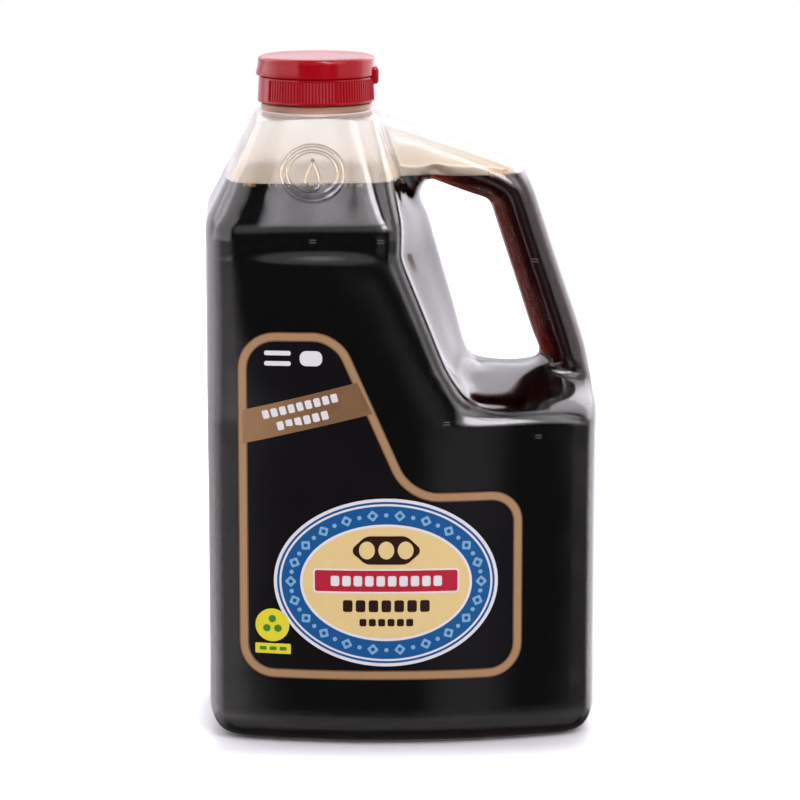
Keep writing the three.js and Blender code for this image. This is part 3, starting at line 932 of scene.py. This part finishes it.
def oval(bm, x, z, half_width, half_height, segments=96):
    """A flat oval about its middle."""
    made = bmesh.ops.create_circle(bm, cap_ends=True, segments=segments, radius=1)
    for vert in made["verts"]:
        vert.co = (x + half_width * vert.co.x, 0, z + half_height * vert.co.y)


def bar(bm, x, z, width, height, radius=0.0, slope=0.0):
    """A flat bar about its middle, which may rise to the right by this angle in degrees."""
    along = Vector((math.cos(math.radians(slope)), math.sin(math.radians(slope))))
    up = Vector((-along.y, along.x))
    corners = []
    for a, b in ((-1, -1), (-1, 1), (1, 1), (1, -1)):
        place = Vector((x, z)) + along * (a * width / 2) + up * (b * height / 2)
        corners.append((place.x, place.y, radius))
    outline(bm, corners)


def bars(count, step, x, z, width, height, radius, slope=0.0):
    """A row of like bars from x and z on, which may rise as each bar does."""
    rise = math.tan(math.radians(slope))
    return [(bar, x + step * i, z + step * rise * i, width, height, radius, slope) for i in range(count)]


def shrunk(corners, distance):
    """Outline corners moved inwards by a distance, for corners listed clockwise."""
    made = []
    count = len(corners)
    for i, (x, z, radius) in enumerate(corners):
        before, after = corners[i - 1], corners[(i + 1) % count]
        a = Vector((x - before[0], z - before[1])).normalized()
        b = Vector((after[0] - x, after[1] - z)).normalized()
        normal = Vector((a.y + b.y, -a.x - b.x)).normalized()
        miter = distance / normal.dot(Vector((a.y, -a.x)))
        wider = distance if a.x * b.y - a.y * b.x > 0 else -distance
        made.append((x + normal.x * miter, z + normal.y * miter, radius + wider))
    return made


def ring_beads():
    """The beads of the oval's ring, round and square by turns, and the hearts of the square ones."""
    half_width, half_height = OVAL_WIDE - BEADS_INSET, OVAL_HIGH - BEADS_INSET
    bead, square, heart = 0.75, 2.9, 0.72
    beads, hearts = [], []
    for i, turn in enumerate(turns_of(BEADS)):
        x, z = OVAL_X + half_width * math.cos(turn), OVAL_Z + half_height * math.sin(turn)
        if i % 2:
            beads.append((oval, x, z, bead, bead, 12))
        else:
            off = math.degrees(math.atan2(half_width * math.sin(turn), half_height * math.cos(turn)))
            beads.append((bar, x, z, square, square, 0.5, off + 45))
            hearts.append((oval, x, z, heart, heart, 12))
    return beads, hearts


def label_shapes():
    """Name, layer, ink and flat shapes of each print of a label, from the film up."""
    beads, hearts = ring_beads()
    pod = [(OVAL_X + x, OVAL_Z + z, radius) for x, z, radius in (
        (-12.5, 11.2, 2.2), (-7, 16.4, 4), (7, 16.4, 4), (12.5, 11.2, 2.2), (7, 6.4, 4), (-7, 6.4, 4))]
    dots = [(oval, SIGN_X + 2.2 * math.cos(a), SIGN_Z + 2.2 * math.sin(a), 1.3, 1.3, 24)
            for a in map(math.radians, (90, 210, 330))]
    beans = [(oval, OVAL_X + x, OVAL_Z + 11.4, 2.7, 3.1, 32) for x in (-6.6, 0, 6.6)]
    rings = []
    for layer, (name, colour, inset) in enumerate(OVAL_RINGS, start=3):
        ring = (oval, OVAL_X, OVAL_Z, OVAL_WIDE - inset, OVAL_HIGH - inset)
        rings.append((f"oval_{name}", layer, colour, [ring]))
    return [
        ("outline_edge", 1, "deep_bronze", [(rim, 0.15, 3.3)]),
        ("label_outline", 2, "bronze", [(rim, 0.6, 2.4)]),
        ("slanted_band", 3, "shaded_bronze", [(outline, BAND_CORNERS)]),
        ("band_marks", 4, "white", bars(9, 2.9, -47.6, 116.4, 2.2, 3.0, 0.5, BAND_SLOPE)
         + bars(6, 3.0, -42.6, 112.6, 2.3, 3.0, 0.5, BAND_SLOPE)),
        ("volume_marks", 4, "white", [(bar, -43.5, 134.4, 9.0, 1.6, 0.7), (bar, -43.5, 138, 9.0, 1.6, 0.7),
                                      (bar, -32.2, 136.2, 7.6, 5.2, 2.2)]),
        *rings,
        ("ring_beads", 9, "pale_blue", beads),
        ("ring_bead_hearts", 10, "blue", hearts),
        ("ribbon_rim", 9, "white", [(bar, OVAL_X, RIBBON_Z, 50.0, 8.6, 1.2)]),
        ("ribbon", 10, "red", [(bar, OVAL_X, RIBBON_Z, 48.8, 7.4, 0.8)]),
        ("ribbon_marks", 11, "white", bars(10, 3.9, OVAL_X - 17.5, RIBBON_Z, 2.9, 3.6, 0.7)),
        ("pod", 9, "dark", [(outline, pod)]),
        ("pod_beans", 10, "cream", beans),
        ("name_marks", 9, "dark", bars(7, 4.4, OVAL_X - 13.2, OVAL_Z - 8.2, 3.3, 4.2, 0.8)),
        ("lower_marks", 9, "dark", bars(6, 3.2, OVAL_X - 8.0, OVAL_Z - 14.0, 2.4, 2.6, 0.6)),
        ("sign_disc", 3, "yellow", [(oval, SIGN_X, SIGN_Z, 5.8, 5.8, 48)]),
        ("sign_dots", 4, "green", dots),
        ("sign_bar", 3, "yellow", [(bar, SIGN_X + 0.2, SIGN_BAR_Z, 12.2, 3.6, 0.4)]),
        ("sign_bar_marks", 4, "green", bars(3, 3.4, -49.0, SIGN_BAR_Z, 2.4, 1.3, 0.4)),
    ]


def lay(name, side, layer, material, shapes, node=None, thickness=LAYER * 0.8):
    """Cuts flat shapes finely, lays them on the front or the back and gives them their thickness."""
    bm = bmesh.new()
    for draw, *numbers in shapes:
        draw(bm, *numbers)
    for axis, normal in ((0, Vector((1, 0, 0))), (2, Vector((0, 0, 1)))):
        values = [v.co[axis] for v in bm.verts]
        first = math.floor(min(values) / PRINT_GRID) + 1
        for i in range(first, math.ceil(max(values) / PRINT_GRID)):
            cut(bm, normal * (i * PRINT_GRID), normal)
    bmesh.ops.triangulate(bm, faces=bm.faces)
    for vert in bm.verts:
        vert.co = on_jug(vert.co.x, vert.co.z, FILM_LIFT + LAYER * layer, side)
    for face in bm.faces:
        face.normal_update()
        if face.normal.y * side < 0:
            face.normal_flip()
    bmesh.ops.solidify(bm, geom=bm.faces[:], thickness=thickness)
    piece_from(name, bm, material, node=node, sharp=30)


def make_label(side):
    """The film of one side and its prints: bronze outline and band, an oval medallion and a round sign."""
    word = "front" if side < 0 else "back"
    film = [(outline, LABEL_OUTLINE)]
    lay(f"{word}_label_film", side, 0, label_film(), film, f"{word}_label", FILM_LIFT)
    for name, layer, colour, shapes in label_shapes():
        lay(f"{word}_{name}", side, layer, ink(colour), shapes)


def turns_of(count):
    """Angles of a full turn in this many steps."""
    return [math.tau * i / count for i in range(count)]


def ring_line(wide, high, count):
    """Places of a ring about the crest's middle."""
    return [(CREST_X + wide * math.cos(a), CREST_Z + high * math.sin(a)) for a in turns_of(count)]


def drop_line(wide, high, count):
    """Places of a drop, pointed at its top, a little under the crest's middle."""
    places = []
    for a in turns_of(count):
        x = CREST_X + wide * math.sin(a) * math.sin(a / 2) ** 1.5
        places.append((x, CREST_Z - 0.6 + high * math.cos(a)))
    return places


def make_crest():
    """A raised ring with a drop on the clear shoulder, drawn as round beads of plastic."""
    curve = bpy.data.curves.new("shoulder_crest", "CURVE")
    curve.dimensions = "3D"
    curve.bevel_depth = CREST_BEAD
    curve.bevel_resolution = 3
    for line in (ring_line(*CREST_OUTER, 72), ring_line(*CREST_INNER, 64), drop_line(*CREST_DROP, 48)):
        spline = curve.splines.new("POLY")
        spline.points.add(len(line) - 1)
        spline.use_cyclic_u = True
        for point, (x, z) in zip(spline.points, line):
            point.co = (*on_jug(x, z, 0.1), 1)
    piece_from("shoulder_crest", bmesh_of_curve(curve), clear_plastic())


def bmesh_of_curve(curve):
    """A bmesh of a curve's beads, and the curve is removed."""
    holder = in_scene(curve.name, curve)
    shown = evaluated(holder)
    bm = bmesh.new()
    bm.from_mesh(shown.to_mesh())
    shown.to_mesh_clear()
    bpy.data.objects.remove(holder)
    bpy.data.curves.remove(curve)
    bmesh.ops.remove_doubles(bm, verts=bm.verts, dist=0.001)
    bmesh.ops.recalc_face_normals(bm, faces=bm.faces)
    return bm


def make_mould_marks():
    """Pairs of short raised dashes where the mould's parts were set."""
    bm = bmesh.new()
    for x, z in MOULD_MARKS:
        for step in (-MARK_SPACE, MARK_SPACE):
            made = bmesh.ops.create_cube(bm, size=1)["verts"]
            place = on_jug(x, z + step, 0.0)
            for vert in made:
                vert.co = place + Vector(c * size for c, size in zip(vert.co, MARK_BAR))
    piece_from("mould_marks", bm, frosted_plastic(), sharp=30)


def make_bubbles():
    """Froth of small amber bubbles along the sauce's front edge and in the arm."""
    sizes = bpy.context.scene.jug_sizes
    level, wall = sizes.sauce_level / MM, sizes.wall / MM
    draw = random.Random(7)
    bm = bmesh.new()
    for x_from, x_to, rise, count in FROTH:
        for _ in range(count):
            radius = draw.uniform(0.22, 0.7)
            x, z = draw.uniform(x_from, x_to), level + draw.uniform(0.0, rise)
            made = bmesh.ops.create_icosphere(bm, subdivisions=2, radius=radius)["verts"]
            bmesh.ops.translate(bm, vec=on_jug(x, z, -wall - radius - 0.1), verts=made)
    piece_from("froth_bubbles", bm, froth())


def aim(thing, place, target):
    """Puts a light or a camera somewhere and turns it to a target."""
    thing.location = place
    thing.rotation_euler = (Vector(target) - Vector(place)).to_track_quat("-Z", "Y").to_euler()


def softbox(name, place, width, height, power):
    """A rectangular light on the jug, itself unseen and unmirrored."""
    light = bpy.data.lights.new(name, "AREA")
    light.shape = "RECTANGLE"
    light.size, light.size_y = width, height
    light.energy = power
    lamp = in_scene(name, light)
    aim(lamp, place, (0, 0, 0.12))
    lamp.visible_camera = lamp.visible_glossy = lamp.visible_transmission = False


def make_floor(glow):
    """A pale round floor that gives off light, but none about the jug's foot, where a contact shadow is
    painted.
    """
    bm = bmesh.new()
    bmesh.ops.create_circle(bm, cap_ends=True, segments=128, radius=1.6)
    mesh = bpy.data.meshes.new("floor")
    bm.to_mesh(mesh)
    bm.free()
    floor = in_scene("floor", mesh)
    paint = new_finish("pale_floor")
    where = paint.place()
    across, along, _ = paint.axes(where)
    # Painted contact shadow: the floor gives off no light about the jug's foot
    painted_contact_shadow = across.within(-70, 70, 20) * along.within(-55, 55, 20)
    grey = paint.mixed(paint.noise(where, 0.01, 2), (0.6, 0.6, 0.6, 1), (0.64, 0.64, 0.64, 1))
    light = paint.mixed(painted_contact_shadow, (1, 1, 1, 1), (0, 0, 0, 1))
    mesh.materials.append(paint.surface(
        Base_Color=grey, Roughness=0.7, Emission_Color=light, Emission_Strength=glow))
    floor.visible_glossy = floor.visible_transmission = False


def make_room(front, back):
    """The room as the jug mirrors it: a dim front, a bright back and the fields. The camera sees white."""
    world = bpy.data.worlds.new("studio")
    sky = Finish(world)
    x, y, z = sky.axes(sky.node("ShaderNodeTexCoord", output="Generated"))
    degrees = math.degrees(1)
    turn = degrees * sky.math("ARCTAN2", x, -1 * y)
    height = degrees * sky.math("ARCSINE", z)
    light = front + back * y.above(0.2, 0.7) * height.above(-24, 6)
    for turns, heights, (soft, soft_up), brightness in FIELDS.values():
        light = light + brightness * turn.within(*turns, soft) * height.within(*heights, soft_up)
    seen = sky.node("ShaderNodeLightPath", output="Is Camera Ray")
    tone = sky.mixed(seen, (0.95, 0.92, 1, 1), (1, 1, 1, 1))
    strength = light + (1.0 - light) * seen
    sky.finished(Surface=sky.node("ShaderNodeBackground", values={"Color": tone, "Strength": strength}))
    bpy.context.scene.world = world


def make_stage():
    """Pale floor, the room, soft lights and the camera."""
    scene = bpy.context.scene
    look = scene.jug_studio
    scene.view_settings.view_transform = "Standard"
    make_floor(look.floor_glow)
    make_room(look.front_light, look.back_light)
    softbox("top_softbox", (0.1, -0.35, 1.25), 0.8, 0.6, look.top_power)
    softbox("back_top_softbox", (0.1, 0.9, 1.1), 0.9, 0.5, look.back_top_power)

    lens = bpy.data.cameras.new("camera")
    lens.lens = look.lens
    lens.sensor_width = 36
    lens.clip_start, lens.clip_end = 0.05, 50
    camera = in_scene("camera", lens)
    aim(camera, look.camera_place, look.camera_aim)
    scene.camera = camera


class JugSizes(bpy.types.PropertyGroup):
    """Sizes that a user would change"""
    wall: FloatProperty(name="Wall", description="Thickness of the plastic", default=0.001, unit="LENGTH")
    sauce_level: FloatProperty(name="Sauce level", description="Height of the sauce over the floor",
                               default=0.194, unit="LENGTH")


class JugColours(bpy.types.PropertyGroup):
    """Colours of the sauce and the cap"""
    sauce: FloatVectorProperty(name="Sauce", description="What a clear layer of the sauce lets through",
                               subtype="COLOR", default=(0.74, 0.48, 0.12), min=0, max=1)
    sauce_density: FloatProperty(name="Sauce density", description="How fast the sauce darkens with depth",
                                 default=780)
    cap: FloatVectorProperty(name="Cap", description="Red of the cap's plastic", subtype="COLOR",
                             default=(0.27, 0.001, 0.005), min=0, max=1)


class JugStudio(bpy.types.PropertyGroup):
    """Camera and lights"""
    camera_place: FloatVectorProperty(name="Camera", description="Place of the camera", unit="LENGTH",
                                      subtype="TRANSLATION", default=(-0.0527, -1.2066, 0.3403))
    camera_aim: FloatVectorProperty(name="Aim", description="Point the camera looks at", unit="LENGTH",
                                    subtype="TRANSLATION", default=(0, 0, 0.1128))
    lens: FloatProperty(name="Lens", description="Focal length in millimetres", default=156.6)
    floor_glow: FloatProperty(name="Floor glow", description="Light the floor gives off", default=0.32)
    front_light: FloatProperty(name="Front light", description="Brightness of the room in front",
                               default=0.07)
    back_light: FloatProperty(name="Back light", description="Brightness of the room behind", default=1.0)
    top_power: FloatProperty(name="Top softbox", description="Power of the softbox overhead", unit="POWER",
                             default=1)
    back_top_power: FloatProperty(name="Back softbox", description="Power of the softbox behind",
                                  unit="POWER", default=20)


class JUG_OT_bottle(bpy.types.Operator):
    """Make the clear blown jug with its handle"""
    bl_idname = "jug.bottle"
    bl_label = "Jug"

    def execute(self, context):
        make_bottle()
        return {"FINISHED"}


class JUG_OT_sauce(bpy.types.Operator):
    """Fill the jug with sauce"""
    bl_idname = "jug.sauce"
    bl_label = "Sauce"

    def execute(self, context):
        make_sauce()
        return {"FINISHED"}


class JUG_OT_cap(bpy.types.Operator):
    """Make the ribbed cap and its flip-top lid"""
    bl_idname = "jug.cap"
    bl_label = "Cap"

    def execute(self, context):
        make_cap_base()
        make_cap_lid()
        return {"FINISHED"}


class JUG_OT_labels(bpy.types.Operator):
    """Print the labels of the front and the back"""
    bl_idname = "jug.labels"
    bl_label = "Labels"

    def execute(self, context):
        make_label(-1)
        make_label(1)
        return {"FINISHED"}


class JUG_OT_details(bpy.types.Operator):
    """Add the crest, the mould marks and the froth"""
    bl_idname = "jug.details"
    bl_label = "Details"

    def execute(self, context):
        make_crest()
        make_mould_marks()
        make_bubbles()
        return {"FINISHED"}


class JUG_OT_stage(bpy.types.Operator):
    """Set up the floor, the lights and the camera"""
    bl_idname = "jug.stage"
    bl_label = "Stage"

    def execute(self, context):
        make_stage()
        return {"FINISHED"}


OPERATORS = (JUG_OT_bottle, JUG_OT_sauce, JUG_OT_cap, JUG_OT_labels, JUG_OT_details, JUG_OT_stage)


class JUG_PT_panel(bpy.types.Panel):
    """Lists the jug's pieces and settings"""
    bl_label = "Soy Sauce Jug"
    bl_space_type = "VIEW_3D"
    bl_region_type = "UI"
    bl_category = "Soy Sauce Jug"

    def draw(self, context):
        for group in (context.scene.jug_sizes, context.scene.jug_colours, context.scene.jug_studio):
            box = self.layout.box()
            for key in group.__annotations__:
                box.prop(group, key)
        for operator in OPERATORS:
            self.layout.operator(operator.bl_idname)


GROUPS = {"jug_sizes": JugSizes, "jug_colours": JugColours, "jug_studio": JugStudio}


def register():
    """Adds the settings, the operators and the panel."""
    for cls in (*GROUPS.values(), *OPERATORS, JUG_PT_panel):
        bpy.utils.register_class(cls)
    for name, group in GROUPS.items():
        setattr(bpy.types.Scene, name, PointerProperty(type=group))


def unregister():
    """Takes the settings, the operators and the panel away."""
    for name in GROUPS:
        delattr(bpy.types.Scene, name)
    for cls in reversed((*GROUPS.values(), *OPERATORS, JUG_PT_panel)):
        bpy.utils.unregister_class(cls)


def main():
    """Builds the dressed jug and its stage."""
    register()
    bpy.ops.jug.bottle()
    bpy.ops.jug.sauce()
    bpy.ops.jug.cap()
    bpy.ops.jug.labels()
    bpy.ops.jug.details()
    bpy.ops.jug.stage()


if __name__ == "__main__":
    main()
